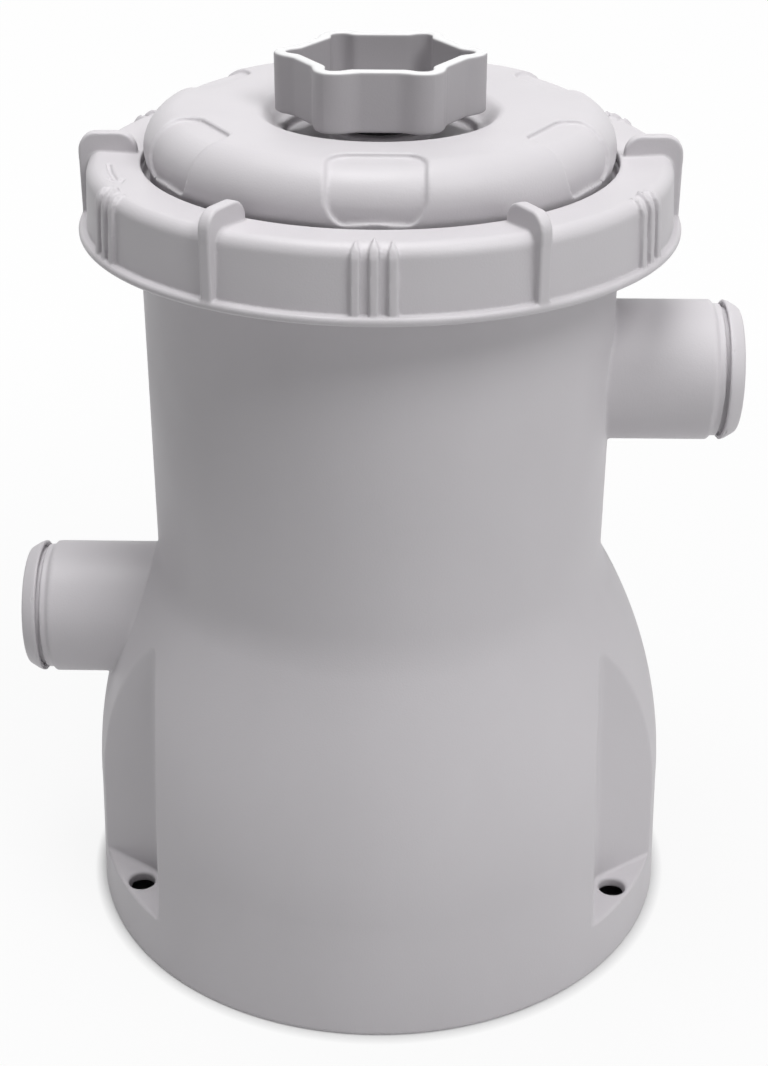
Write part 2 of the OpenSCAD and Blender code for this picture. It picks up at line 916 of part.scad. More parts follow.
// Dip in the middle of the dome: a rounded rim, a cone and a flat floor
module crater_outline(inset) {
    rim = 4;
    polygon([
        [0, crater_z - inset],
        [crater_r - 3 + inset, crater_z - inset],
        [crater_r + inset, crest_z - 1.6 - inset],
        [crest_r - rim, crest_z - inset],
        [crest_r - rim, crest_z + 5],
        [0, crest_z + 5]
    ]);
}

module dome(inset) {
    rotate_extrude()
        difference() {
            dome_outline(inset);
            crater_outline(inset);
        }
}

// Rounded oblong across the shoulder of the dome, aimed along its slope
module pad_block() {
    corner = 4;
    translate([dome_x, 0, crest_z - dome_round])
        rotate([0, 40, 0])
            linear_extrude(height = dome_r) {
                square([pad_l, pad_w - 2 * corner], center = true);
                square([pad_l - 2 * corner, pad_w], center = true);
                for (x = [-1, 1], y = [-1, 1])
                    translate([x * (pad_l / 2 - corner), y * (pad_w / 2 - corner)])
                        circle(r = corner);
            }
}

module lid() {
    spigot_r = neck_bore_r - spigot_gap;
    color([0.85, 0.85, 0.86])
        difference() {
            union() {
                difference() {
                    union() {
                        dome(0);
                        translate([0, 0, lid_z])
                            cylinder(r = lid_flange_r, h = lid_flange_t);
                        translate([0, 0, lid_z - spigot_h])
                            cylinder(r = spigot_r, h = spigot_h + 1);
                    }
                    dome(lid_wall);
                    translate([0, 0, lid_z - far])
                        cylinder(r = dome_r - lid_wall, h = far + 1);
                    difference() {
                        around(6, 30)
                            pad_block();
                        dome(pad_depth);
                    }
                }
                translate([0, 0, crater_z - boss_h])
                    cylinder(r = boss_r, h = boss_h - 0.5);
            }
            translate([0, 0, crater_z - 20])
                cylinder(r = stem_r + bore_gap, h = 40);
            ring(lid_seal_r - seal_w / 2, lid_seal_r + seal_w / 2, lid_z - 1, 1 + lid_seal_t);
        }
}

module lid_seal() {
    color([0.1, 0.1, 0.1])
        ring(lid_seal_r - seal_w / 2, lid_seal_r + seal_w / 2, lid_z, lid_seal_t);
}

// Grip fin in a radial plane: a round ear on the ring's top with a leg down its wall
module fin() {
    rotate([90, 0, 0])
        linear_extrude(height = fin_t, center = true) {
            translate([bead_r - 0.3 - fin_ear_r, ring_top_z + fin_rise - fin_ear_r])
                circle(r = fin_ear_r);
            translate([bead_r - 0.3 - fin_ear_r, ring_z + bead_h])
                square([fin_ear_r, ring_h + fin_rise - fin_ear_r - bead_h]);
        }
}

// Vertical grip rib with a pointed top
module rib(extra) {
    low = ring_z + bead_h;
    high = ring_top_z - 4 + extra;
    translate([ring_r - 2, 0, 0])
        rotate([90, 0, 90])
            linear_extrude(height = 2.8)
                polygon([
                    [-rib_w / 2, low],
                    [rib_w / 2, low],
                    [rib_w / 2, high],
                    [0, high + 2.5],
                    [-rib_w / 2, high]
                ]);
}

module collar() {
    wall_top = ring_r - ring_draft;
    pitch_angle = rib_pitch / ring_r * 180 / PI;
    color([0.82, 0.82, 0.83])
        difference() {
            union() {
                rotate_extrude() {
                    polygon([
                        [ring_mouth_r, ring_z],
                        [ring_r, ring_z],
                        [wall_top, ring_top_z - ring_round],
                        [wall_top - ring_round, ring_top_z],
                        [ring_mouth_r, ring_top_z]
                    ]);
                    translate([wall_top - ring_round, ring_top_z - ring_round])
                        circle(r = ring_round);
                    translate([ring_mouth_r, ring_z])
                        square([bead_r - bead_h / 2 - ring_mouth_r, bead_h]);
                    translate([bead_r - bead_h / 2, ring_z + bead_h / 2])
                        circle(r = bead_h / 2);
                }
                around(fin_count, 0)
                    fin();
                around(fin_count, 30)
                    for (k = [-1, 0, 1])
                        rotate([0, 0, k * pitch_angle])
                            rib(k == 0 ? 1 : 0);
            }
            translate([0, 0, ring_z - 1])
                cylinder(r = ring_inner_r, h = ring_h - ring_top_t + 1);
            cylinder(r = ring_mouth_r, h = far);
        }
}

// Outline of the knob, shrunk by a wall: flat sides with a round lobe at each corner
module knob_plan(inset) {
    corner = (knob_flat - inset) / cos(180 / knob_lobes);
    step = 360 / knob_lobes;
    polygon([
        for (i = [0 : knob_lobes - 1])
            corner * [cos(i * step), sin(i * step)]
    ]);
    around(knob_lobes)
        translate([knob_r - knob_lobe_r, 0])
            circle(r = knob_lobe_r - inset);
}

module bleed_knob() {
    top = hub_top_z + knob_h;
    stop_z = crater_z - boss_h - knob_rise - 0.3 - 1.6;
    color([0.55, 0.55, 0.56])
        difference() {
            union() {
                translate([0, 0, hub_top_z])
                    linear_extrude(height = knob_h)
                        knob_plan(0);
                translate([0, 0, crater_z + knob_seal_t])
                    cylinder(r = boss_r + 1, h = hub_top_z - crater_z - knob_seal_t + 1);
                translate([0, 0, stop_z])
                    cylinder(r = stem_r, h = hub_top_z - stop_z + 1);
                translate([0, 0, stop_z])
                    cylinder(r = stem_stop_r, h = 1.6);
            }
            translate([0, 0, hub_top_z + knob_floor_t])
                linear_extrude(height = knob_h)
                    knob_plan(knob_wall);
        }
}

module bleed_seal() {
    color([0.1, 0.1, 0.1])
        ring(stem_r + bore_gap, boss_r, crater_z, knob_seal_t);
}

housing_base();
housing_neck();
inlet_port();
outlet_port();
base_plate();
base_screws();
pot_screws();
motor_pot();
pot_seal();
stator_core();
coil_bobbins();
coil_windings();
motor_potting();
lower_bush();
upper_bush();
rotor_shaft();
rotor_magnet();
impeller();
pump_chamber();
chamber_cover();
cover_screws();
cover_seal();
cable_gland();
cartridge_core();
cartridge_media();
cartridge_cap_top();
cartridge_cap_bottom();
lid();
lid_seal();
collar();
bleed_knob();
bleed_seal();
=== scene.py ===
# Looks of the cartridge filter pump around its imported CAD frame.
# The moulded pieces are distance fields in millimetres, meshed on a grid, so that every moulded
# edge is rounded. Their sizes and places follow part.scad. Blender's own lengths are metres.
import math

import bpy
import numpy as np
from mathutils import Matrix, Vector


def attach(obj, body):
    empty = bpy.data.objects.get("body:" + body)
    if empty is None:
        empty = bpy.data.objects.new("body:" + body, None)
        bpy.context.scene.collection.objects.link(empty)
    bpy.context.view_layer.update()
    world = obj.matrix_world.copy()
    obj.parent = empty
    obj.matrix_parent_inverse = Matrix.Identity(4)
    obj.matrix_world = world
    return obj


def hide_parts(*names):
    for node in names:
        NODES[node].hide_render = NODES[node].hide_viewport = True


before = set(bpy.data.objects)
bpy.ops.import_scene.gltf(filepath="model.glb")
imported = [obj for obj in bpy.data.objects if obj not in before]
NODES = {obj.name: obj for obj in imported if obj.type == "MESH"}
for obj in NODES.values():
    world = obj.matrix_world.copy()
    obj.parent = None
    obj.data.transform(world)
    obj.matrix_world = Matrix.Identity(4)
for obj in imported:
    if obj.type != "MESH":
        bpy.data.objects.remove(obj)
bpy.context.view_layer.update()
MM = 0.001
FULL_TURN = 2 * math.pi

# Camera, fitted to the photograph
CAMERA_PLACE = (0.00699, -0.39196, 0.29771)
CAMERA_PITCH, CAMERA_YAW, CAMERA_ROLL = 0.480683, -0.0151224, 0.0030547
CAMERA_LENS, CAMERA_SENSOR = 61.97, 36


def make_camera():
    """Camera that looks down by the pitch, turned by the yaw and rolled about its own axis."""
    forward = Vector((
        math.sin(CAMERA_YAW) * math.cos(CAMERA_PITCH),
        math.cos(CAMERA_YAW) * math.cos(CAMERA_PITCH),
        -math.sin(CAMERA_PITCH),
    ))
    level = forward.cross(Vector((0, 0, 1))).normalized()
    upright = level.cross(forward)
    c, s = math.cos(CAMERA_ROLL), math.sin(CAMERA_ROLL)
    right = c * level + s * upright
    up = c * upright - s * level
    data = bpy.data.cameras.new("camera")
    data.lens = CAMERA_LENS
    data.sensor_width = CAMERA_SENSOR
    data.clip_start = 0.01
    data.clip_end = 50
    camera = bpy.data.objects.new("camera", data)
    turn = Matrix((right, up, -forward)).transposed().to_4x4()
    camera.matrix_world = Matrix.Translation(CAMERA_PLACE) @ turn
    bpy.context.scene.collection.objects.link(camera)
    bpy.context.scene.camera = camera


make_camera()

# Distance fields: negative inside, positive outside, in millimetres
# DEEP is a height far below lid and ring, where their open-ended boxes start
# FAR is a distance larger than any wall or gap
# CLEAR is how far a cut runs on outside the surface that it opens
# DIAGONAL is about the root of two
# Further down, a name that ends in EDGE, FILLET or CORNER is the size of a rounding, and one that
# ends in NORM divides a slanted face's distance, so that it grows by about 1 per millimetre
DEEP, FAR, CLEAR = 60.0, 99.0, 2.0
DIAGONAL = 1.414


def smin(a, b, k):
    """Joins two shapes, with a fillet of size k where they meet."""
    h = np.clip(0.5 + 0.5 * (b - a) / k, 0, 1)
    return b + (a - b) * h - k * h * (1 - h)


def smax(a, b, k):
    """Keeps what two shapes share, with an edge of size k rounded off."""
    return -smin(-a, -b, k)


def corner(a, b, r):
    """Keeps what two shapes share, with an edge of radius r."""
    a, b = a + r, b + r
    return np.hypot(np.maximum(a, 0), np.maximum(b, 0)) + np.minimum(np.maximum(a, b), 0) - r


def box2(u, v, u0, u1, v0, v1, r=0.0):
    """Distance to a rectangle with corners of radius r."""
    return corner(np.abs(u - (u0 + u1) / 2) - (u1 - u0) / 2, np.abs(v - (v0 + v1) / 2) - (v1 - v0) / 2, r)


def extrude(flat, t, half, r):
    """Distance to a flat shape of that half thickness with edges of radius r."""
    return corner(flat, np.abs(t) - half, r)


def fold(x, y, count, start=0.0):
    """Radius, and the place (u, v) of a point in the nearest of count equal sectors."""
    r = np.hypot(x, y)
    step = FULL_TURN / count
    a = np.arctan2(y, x) - math.radians(start)
    a = np.mod(a + step / 2, step) - step / 2
    return r, r * np.cos(a), r * np.sin(a)


def turned(x, y, angle):
    """Place of a point along and across a direction, whose angle is in radians."""
    return x * math.cos(angle) + y * math.sin(angle), y * math.cos(angle) - x * math.sin(angle)


# Meshing
CORNERS = np.array([(i, j, k) for i in (0, 1) for j in (0, 1) for k in (0, 1)])
EDGES = [(a, b) for a in range(8) for b in range(a + 1, 8)
         if np.abs(CORNERS[a] - CORNERS[b]).sum() == 1]
CHUNK = 300000
FIRST_CELL = 16
REACH_SCALE, REACH_SPARE = 1.6, 0.5
NUDGE = 0.004
NEWTON_STEPS, STEP_SHARE = 3, 4
LEAST_SLOPE = 0.05
TINY = 1e-9


def evaluate(field, p):
    """Distances at many points, a chunk at a time."""
    return np.concatenate([
        field(p[i:i + CHUNK, 0], p[i:i + CHUNK, 1], p[i:i + CHUNK, 2])
        for i in range(0, len(p), CHUNK)
    ])


def gradient(field, p):
    slope = np.empty_like(p)
    for axis in range(3):
        d = np.zeros(3)
        d[axis] = NUDGE
        slope[:, axis] = (evaluate(field, p + d) - evaluate(field, p - d)) / (2 * NUDGE)
    return slope


def planes(*spans):
    """Grid planes: each span is (from, to, spacing)."""
    out = []
    for lo, hi, step in spans:
        n = max(1, round((hi - lo) / step))
        out.extend(np.linspace(lo, hi, n + 1)[: n])
    out.append(spans[-1][1])
    return np.array(out)


def keys_of(places, dims):
    """One number for each place in the grid."""
    return (places[..., 0] * dims[1] + places[..., 1]) * dims[2] + places[..., 2]


def near_cells(field, axes):
    """Grid cells near the surface: large cells are halved only where it may pass."""
    n = np.array([len(a) - 1 for a in axes])
    size = FIRST_CELL
    cells = np.stack(np.meshgrid(*[np.arange(0, m, size) for m in n], indexing="ij"), -1).reshape(-1, 3)
    while True:
        top = np.minimum(cells + size, n)
        lo = np.stack([a[cells[:, i]] for i, a in enumerate(axes)], -1)
        hi = np.stack([a[top[:, i]] for i, a in enumerate(axes)], -1)
        reach = np.linalg.norm(hi - lo, axis=1) / 2
        cells = cells[np.abs(evaluate(field, (lo + hi) / 2)) < reach * REACH_SCALE + REACH_SPARE]
        if size == 1:
            return cells
        size //= 2
        cells = (cells[:, None, :] + CORNERS[None] * size).reshape(-1, 3)
        cells = cells[(cells < n).all(1)]


def corner_values(field, cells, axes, dims):
    """Places and distances of the cells' corners, and which eight belong to each cell."""
    unique, where = np.unique(keys_of(cells[:, None, :] + CORNERS[None], dims), return_inverse=True)
    index = (unique // (dims[1] * dims[2]), (unique // dims[2]) % dims[1], unique % dims[2])
    points = np.stack([a[i] for a, i in zip(axes, index)], -1)
    value = evaluate(field, points)
    value[value == 0] = TINY
    return points, value, where.reshape(len(cells), len(CORNERS))


def mean_crossing(points, value, where):
    """Mean of the places where the surface crosses each cell's edges."""
    total = np.zeros((len(where), 3))
    count = np.zeros(len(where))
    for a, b in EDGES:
        fa, fb = value[where[:, a]], value[where[:, b]]
        cross = (fa < 0) != (fb < 0)
        t = np.where(cross, fa / np.where(cross, fa - fb, 1), 0)[:, None]
        pa, pb = points[where[:, a]], points[where[:, b]]
        total += np.where(cross[:, None], pa + t * (pb - pa), 0)
        count += cross
    return total / count[:, None]


def settle(field, p, limit):
    """Moves points onto the surface by Newton steps, each no longer than limit."""
    for _ in range(NEWTON_STEPS):
        g = gradient(field, p)
        step = g * (evaluate(field, p) / np.maximum((g * g).sum(1), LEAST_SLOPE))[:, None]
        length = np.linalg.norm(step, axis=1)[:, None]
        p -= step * np.minimum(1, limit / np.maximum(length, TINY))
    return p


def surface_quads(cells, value, where, dims):
    """Quads: a grid edge that the surface crosses joins the vertices of the four cells round it."""
    keys = keys_of(cells, dims)
    quads = []
    for axis in range(3):
        one = CORNERS.tolist().index([int(axis == q) for q in range(3)])
        f0, f1 = value[where[:, 0]], value[where[:, one]]
        pick = ((f0 < 0) != (f1 < 0)) & (cells > 0).all(1)
        base = cells[pick]
        s, t = np.roll((1, 0, 0), axis + 1), np.roll((1, 0, 0), axis + 2)
        loop = [base, base - s, base - s - t, base - t]
        ids = np.stack([np.searchsorted(keys, keys_of(c, dims)) for c in loop], -1)
        ids = np.minimum(ids, len(keys) - 1)
        whole = np.all([keys[ids[:, q]] == keys_of(c, dims) for q, c in enumerate(loop)], axis=0)
        flip = f0[pick] > 0
        ids[flip] = ids[flip][:, ::-1]
        quads.append(ids[whole])
    return np.concatenate(quads)


def new_object(name, p, quads):
    mesh = bpy.data.meshes.new(name)
    mesh.vertices.add(len(p))
    mesh.vertices.foreach_set("co", (p * MM).astype(np.float32).ravel())
    mesh.loops.add(quads.size)
    mesh.loops.foreach_set("vertex_index", quads.ravel().astype(np.int32))
    mesh.polygons.add(len(quads))
    mesh.polygons.foreach_set("loop_start", np.arange(0, quads.size, 4, dtype=np.int32))
    mesh.polygons.foreach_set("use_smooth", np.ones(len(quads), bool))
    mesh.update(calc_edges=True)
    mesh.validate()
    obj = bpy.data.objects.new(name, mesh)
    bpy.context.scene.collection.objects.link(obj)
    return obj


def mesh_field(name, field, *axes):
    """Object whose surface is field = 0, on a grid of the given x, y and z planes."""
    dims = np.array([len(a) for a in axes])
    cells = near_cells(field, axes)
    points, value, where = corner_values(field, cells, axes, dims)
    inside = value[where] < 0
    mixed = inside.any(1) & ~inside.all(1)
    cells, where = cells[mixed], where[mixed]
    order = np.argsort(keys_of(cells, dims))
    cells, where = cells[order], where[order]
    diagonal = np.linalg.norm(points[where[:, 7]] - points[where[:, 0]], axis=1)[:, None]
    p = settle(field, mean_crossing(points, value, where), diagonal / STEP_SHARE)
    return new_object(name, p, surface_quads(cells, value, where, dims))


# Materials
class Tree:
    """Writes nodes: an input's value is a socket to link or a constant."""

    def __init__(self, tree):
        self.nodes = tree.nodes
        self.links = tree.links

    def feed(self, socket, value):
        if isinstance(value, bpy.types.NodeSocket):
            self.links.new(value, socket)
        else:
            socket.default_value = value

    def add(self, kind, inputs=None, **props):
        node = self.nodes.new(kind)
        for key, value in props.items():
            setattr(node, key, value)
        for key, value in (inputs or {}).items():
            self.feed(node.inputs[key], value)
        return node

    def object_place(self):
        return self.add("ShaderNodeTexCoord").outputs["Object"]

    def math(self, operation, a, b):
        return self.add("ShaderNodeMath", {0: a, 1: b}, operation=operation).outputs[0]

    def ramp(self, fac, *stops):
        """Colours from (position, colour) stops, in rising order."""
        node = self.add("ShaderNodeValToRGB", {"Fac": fac})
        elements = node.color_ramp.elements
        for index, (position, colour) in enumerate(stops):
            element = elements[index] if index < 2 else elements.new(position)
            element.position = position
            element.color = (*colour, 1)
        return node.outputs["Color"]


class Finish(Tree):
    """A piece's material around one Principled BSDF."""

    def __init__(self, name):
        self.material = bpy.data.materials.new(name)
        self.material.use_nodes = True
        super().__init__(self.material.node_tree)
        self.shader = self.nodes["Principled BSDF"]
        self.place = self.object_place()

    def put(self, socket, value):
        self.feed(self.shader.inputs[socket], value)

    def noise(self, scale, detail, stretch=None):
        at = self.place
        if stretch:
            at = self.add("ShaderNodeMapping", {"Vector": at, "Scale": stretch}).outputs[0]
        return self.add("ShaderNodeTexNoise", {"Vector": at, "Scale": scale, "Detail": detail}).outputs[0]

    def blend(self, fac, low, high, start=0.35, end=0.65):
        return self.ramp(fac, (start, low), (end, high))

    def span(self, fac, low, high):
        """Maps the usual spread of a noise onto the range from low to high."""
        return self.add("ShaderNodeMapRange", {
            "Value": fac, "From Min": 0.3, "From Max": 0.7, "To Min": low, "To Max": high,
        }).outputs[0]

    def bump(self, height, depth, strength=1.0, after=None):
        inputs = {"Height": height, "Distance": depth, "Strength": strength}
        if after is not None:
            inputs["Normal"] = after
        return self.add("ShaderNodeBump", inputs).outputs[0]


# Height in metres over which the painted highlight fades in
RIM_HIGHLIGHT_BLEND = 0.0003
FLOW_DEPTH, FLOW_STRENGTH = 0.00012, 0.25
# At scale 1, Blender's wave texture turns by this many radians in one unit
WAVE_RATE = 20


def painted_rim_highlight(t, colour, height, grey):
    """Painted highlight: paler grey on what lies above that height in metres, standing in for light on
    top faces.
    """
    rise = t.add("ShaderNodeMapRange", {
        "Value": t.add("ShaderNodeSeparateXYZ", {"Vector": t.place}).outputs["Z"],
        "From Min": height, "From Max": height + RIM_HIGHLIGHT_BLEND, "To Min": 0.0, "To Max": 1.0,
    }).outputs[0]
    mix = t.add("ShaderNodeMix", data_type="RGBA")
    t.feed(mix.inputs["Factor"], rise)
    t.feed(mix.inputs["A"], colour)
    t.feed(mix.inputs["B"], (grey, grey, grey, 1))
    return mix.outputs["Result"]


def moulded(name, grey, rough, depth=0.000035, tint=(1, 1, 1), spread=0.025, highlight_rim=None):
    """Injection-moulded plastic: a fine spark-eroded grain, faint flow marks and soft gloss.

    The last argument is (height in metres, grey): above that height the colour is a painted highlight, a
    paler grey that stands in for light on the top edge.
    """
    t = Finish(name)
    low = tuple(grey * (1 - spread) * c for c in tint)
    high = tuple(grey * (1 + spread) * c for c in tint)
    colour = t.blend(t.noise(22, 3, stretch=(1, 1, 0.45)), low, high)
    # Painted highlight: paler grey above a height, standing in for light on the top edge
    if highlight_rim:
        colour = painted_rim_highlight(t, colour, *highlight_rim)
    t.put("Base Color", colour)
    t.put("Roughness", t.span(t.noise(60, 4), rough - 0.05, rough + 0.05))
    grain = t.bump(t.noise(2600, 3), depth)
    t.put("Normal", t.bump(t.noise(120, 2), FLOW_DEPTH, FLOW_STRENGTH, grain))
    t.put("Specular IOR Level", 0.4)
    return t.material


def metal(name, colour, rough):
    """Turned and plated metal with fine scratches."""
    t = Finish(name)
    t.put("Base Color", t.blend(t.noise(300, 3), tuple(c * 0.9 for c in colour), colour))
    t.put("Metallic", 1.0)
    t.put("Roughness", t.span(t.noise(900, 3, stretch=(1, 1, 8)), rough - 0.07, rough + 0.1))
    t.put("Normal", t.bump(t.noise(3000, 2, stretch=(1, 1, 6)), 0.00001))
    return t.material


def rubber(name):
    """Black rubber with a dull, finely mottled skin."""
    t = Finish(name)
    t.put("Base Color", t.blend(t.noise(400, 3), (0.012, 0.012, 0.012), (0.03, 0.03, 0.03)))
    t.put("Roughness", t.span(t.noise(900, 2), 0.6, 0.8))
    t.put("Normal", t.bump(t.noise(2200, 3), 0.00003))
    return t.material


def layered(name, low, high, band, metallic, rough):
    """Sheets or wires stacked along Z: dark and pale bands by turns, each of that height in metres."""
    t = Finish(name)
    wave = t.add("ShaderNodeTexWave", {
        "Vector": t.place, "Scale": math.pi / (WAVE_RATE * band), "Distortion": 0.6, "Detail": 2.0,
    }, bands_direction="Z").outputs["Fac"]
    t.put("Base Color", t.blend(wave, low, high, 0.1, 0.9))
    t.put("Metallic", metallic)
    t.put("Roughness", t.span(t.noise(700, 2), rough - 0.06, rough + 0.08))
    t.put("Normal", t.bump(wave, band * 0.3))
    return t.material


def paper(name):
    """Spun polyester filter sheet: short crossed fibres and soft mottling."""
    t = Finish(name)
    t.put("Base Color", t.blend(t.noise(180, 4), (0.78, 0.79, 0.8), (0.9, 0.9, 0.89)))
    t.put("Roughness", 0.9)
    upright = t.bump(t.noise(1500, 6, stretch=(1, 1, 0.2)), 0.00012)
    t.put("Normal", t.bump(t.noise(2400, 4, stretch=(0.3, 0.3, 1)), 0.00008, 0.7, upright))
    return t.material


GREY_TINT = (1.012, 0.976, 1.012)
# Painted highlight on the knob's top edge: height in metres, just under the knob's top, and its paler
# grey
KNOB_RIM_HIGHLIGHT = (0.2081, 0.74)
MATERIALS = {
    "body_plastic": moulded("body_plastic", 0.6, 0.5, tint=GREY_TINT),
    "lid_plastic": moulded("lid_plastic", 0.57, 0.45, tint=GREY_TINT),
    "ring_plastic": moulded("ring_plastic", 0.575, 0.45, tint=GREY_TINT),
    # The knob's top edge gets a painted highlight
    "knob_plastic": moulded("knob_plastic", 0.405, 0.45, tint=GREY_TINT, highlight_rim=KNOB_RIM_HIGHLIGHT),
    "dark_plastic": moulded("dark_plastic", 0.035, 0.5, tint=(1, 1, 1.08)),
    "steel": metal("steel", (0.62, 0.61, 0.59), 0.3),
    "rubber": rubber("rubber"),
    "lamination": layered("lamination", (0.1, 0.1, 0.11), (0.32, 0.32, 0.34), 0.0005, 0.9, 0.4),
    "bobbin_plastic": moulded("bobbin_plastic", 0.72, 0.4, tint=(1, 0.97, 0.88)),
    "copper": layered("copper", (0.35, 0.1, 0.03), (0.78, 0.33, 0.14), 0.0006, 0.8, 0.3),
    "resin": moulded("resin", 0.03, 0.25, tint=(1, 0.98, 0.94)),
    "ceramic": moulded("ceramic", 0.8, 0.2, depth=0.00001),
    "magnet": metal("magnet", (0.16, 0.16, 0.17), 0.45),
    "impeller_plastic": moulded("impeller_plastic", 0.7, 0.45, tint=(1, 0.98, 0.93)),
    "core_plastic": moulded("core_plastic", 0.8, 0.4),
    "filter_paper": paper("filter_paper"),
    "cap_plastic": moulded("cap_plastic", 0.3, 0.55, tint=(0.35, 0.8, 1.6)),
}
CARRIED_OVER = {
    "dark_plastic": ("base_plate", "motor_pot", "pump_chamber", "chamber_cover"),
    "steel": ("base_screws", "pot_screws", "cover_screws"),
    "rubber": ("pot_seal", "cover_seal", "lid_seal", "bleed_seal", "lower_bush", "upper_bush",
               "cable_gland"),
    "lamination": ("stator_core",),
    "bobbin_plastic": ("coil_bobbins",),
    "copper": ("coil_windings",),
    "resin": ("motor_potting",),
    "ceramic": ("rotor_shaft",),
    "magnet": ("rotor_magnet",),
    "impeller_plastic": ("impeller",),
    "core_plastic": ("cartridge_core",),
    "filter_paper": ("cartridge_media",),
    "cap_plastic": ("cartridge_cap_top", "cartridge_cap_bottom"),
}
SHARP_ANGLE = math.radians(32)


def paint(obj, slot):
    obj.data.materials.clear()
    obj.data.materials.append(MATERIALS[slot])


def dress(obj, body, slot, *nodes):
    """Hangs a new piece on its body, in place of those CAD nodes."""
    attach(obj, body)
    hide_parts(*nodes)
    paint(obj, slot)


for slot_name, node_names in CARRIED_OVER.items():
    for node_name in node_names:
        node_mesh = NODES[node_name].data
        paint(NODES[node_name], slot_name)
        node_mesh.polygons.foreach_set("use_smooth", np.ones(len(node_mesh.polygons), bool))
        node_mesh.set_sharp_from_angle(angle=SHARP_ANGLE)

# Screw thread on neck and ring
THREAD_PITCH, THREAD_FLANK = 2.8, 4.2


def thread(x, y, z, start, peak, height, low, high):
    """Height of the ridge from low to high: its flanks aim at peak and it is cut flat at height."""
    turn = (z - start - THREAD_PITCH * np.arctan2(y, x) / FULL_TURN) / THREAD_PITCH
    ridge = np.clip(peak - THREAD_FLANK * np.abs(turn - np.round(turn)), 0, height)
    return ridge * ((z > low) & (z < high))


# Housing: bell, neck, two hose ports, two fixing pockets and the gland's boss
BASE_R, KNEE_R, SKIRT_H, BELL_R = 71.3, 70.3, 30.0, 113.0
NECK_R, NECK_FILLET, WALL = 52.9, 19.4, 2.9
BELL_X = KNEE_R - BELL_R
FILLET_X = NECK_R + NECK_FILLET
FILLET_Z = SKIRT_H + math.sqrt((BELL_R + NECK_FILLET) ** 2 - (FILLET_X - BELL_X) ** 2)
RING_Z, LID_Z = 171.6, 180.2
FLARE_R, FLARE_RISE = 58.7, 3.0
NECK_THREAD = {"start": 176.2, "peak": 1.6, "height": 0.9, "low": 174.8, "high": 179.8}
INLET_Z, INLET_REACH = 136.5, 81.5
OUTLET_Z, OUTLET_REACH = 72.4, 85.5
PORT_R, PORT_BORE, PORT_FROM, PORT_FILLET = 16.0, 13.0, 20.0, 0.4
LIP, NOSE, NOSE_SLOPE, NOSE_NORM = 3.6, 3.0, 0.6, 1.17
GROOVE_DEPTH, GROOVE_RUN = 0.9, 2.2
SLOT_DEPTH, SLOT_WIDTH, UNDERCUT, UNDERCUT_TOP = 1.8, 0.8, 0.6, 1.0
INLET_BORE_FROM, OUTLET_BORE_FROM = 44.0, 40.0
THROAT_R, THROAT_X, THROAT_STEP = 12.0, 65.8, 1.0
POCKET_AIMS = (-30.0, 210.0)
POCKET_FLOOR, POCKET_TOP, POCKET_R, POCKET_HALF = 14.0, 95.0, 4.5, 18.3
POCKET_ALPHA, POCKET_LEAN = math.radians(65.7), math.radians(2.0)
POCKET_FLOOR_T = 3.0
FIX_X, FIX_Y, FIX_R, FIX_ABOVE = 57.504, -33.2, 3.2, 2.0
DECK_Z, DECK_IN, DECK_HALF = 55.4, 46.0, 1.5
LEDGE_Z, LEDGE_IN, LEDGE_HALF = 86.4, 47.0, 1.25
# No rib stands at the gland or at a pocket
BODY_RIB_AIMS = [a for a in range(0, 360, 30) if a not in (90, 210, 330)]
BODY_RIB_IN, BODY_RIB_HALF, BODY_RIB_FOOT, BODY_RIB_HEAD = 57.8, 1.0, 1.5, 56.0
GLAND_Z, GLAND_BORE, GLAND_BORE_FROM = 22.0, 6.15, 51.0
BOSS_R, BOSS_FACE, BOSS_FROM = 10.0, 71.7, 30.0
GLAND_SEAT_R, GLAND_SEAT_Y = 9.0, 63.3
NOSE_EDGE, PORT_END_EDGE, GROOVE_EDGE, LIP_EDGE = 0.5, 0.6, 0.3, 0.15
FLARE_EASE, FLARE_FILLET, BOSS_FILLET, INNER_FILLET, INNER_EDGE = 0.8, 0.8, 0.8, 0.7, 0.4
BASE_EDGE, TOP_EDGE, POCKET_FLOOR_EDGE, POCKET_EDGE = 0.8, 0.5, 0.8, 0.25
HOLE_EDGE, BORE_EDGE, GLAND_EDGE = 0.9, 0.5, 0.4


def bell(r, z, inset):
    """Distance to the bell-shaped side of the body, shrunk by a wall: two arcs that touch."""
    big, small = BELL_R - inset, NECK_FILLET + inset
    turn = SKIRT_H + (FILLET_Z - SKIRT_H) * big / (BELL_R + NECK_FILLET)
    a = np.clip(z - SKIRT_H, 0, turn - SKIRT_H)
    b = np.clip(FILLET_Z - z, 0, FILLET_Z - turn)
    arc = np.sqrt(big * big - a * a)
    hollow = np.sqrt(small * small - b * b)
    radius = np.where(z < turn, BELL_X + arc, FILLET_X - hollow)
    radius = radius + (BASE_R - KNEE_R) * np.maximum(SKIRT_H - z, 0) / SKIRT_H
    slope = np.where(z < turn, a / arc, b / hollow)
    return (r - radius) / np.sqrt(1 + slope * slope)


def port(u, rho, reach):
    """Hose port along u: tube, bevelled nose, and a clamp groove with a steep side at the lip."""
    lip = reach - LIP
    nose = (rho - PORT_R + NOSE_SLOPE * (u - reach + NOSE)) / NOSE_NORM
    tube = smax(smax(rho - PORT_R, nose, NOSE_EDGE), u - reach, PORT_END_EDGE)
    floor_r = PORT_R - GROOVE_DEPTH
    ramp = (lip - GROOVE_RUN - u - rho + floor_r) / DIAGONAL
    groove = np.maximum(smax(floor_r - rho, ramp, GROOVE_EDGE), u - lip)
    slot = box2(u, rho, lip - SLOT_WIDTH, lip, PORT_R - SLOT_DEPTH, PORT_R + CLEAR)
    under = box2(u, rho, lip - SLOT_WIDTH, lip + UNDERCUT, PORT_R - SLOT_DEPTH, PORT_R - UNDERCUT_TOP)
    return smax(tube, -np.minimum(np.minimum(groove, slot), under), LIP_EDGE)


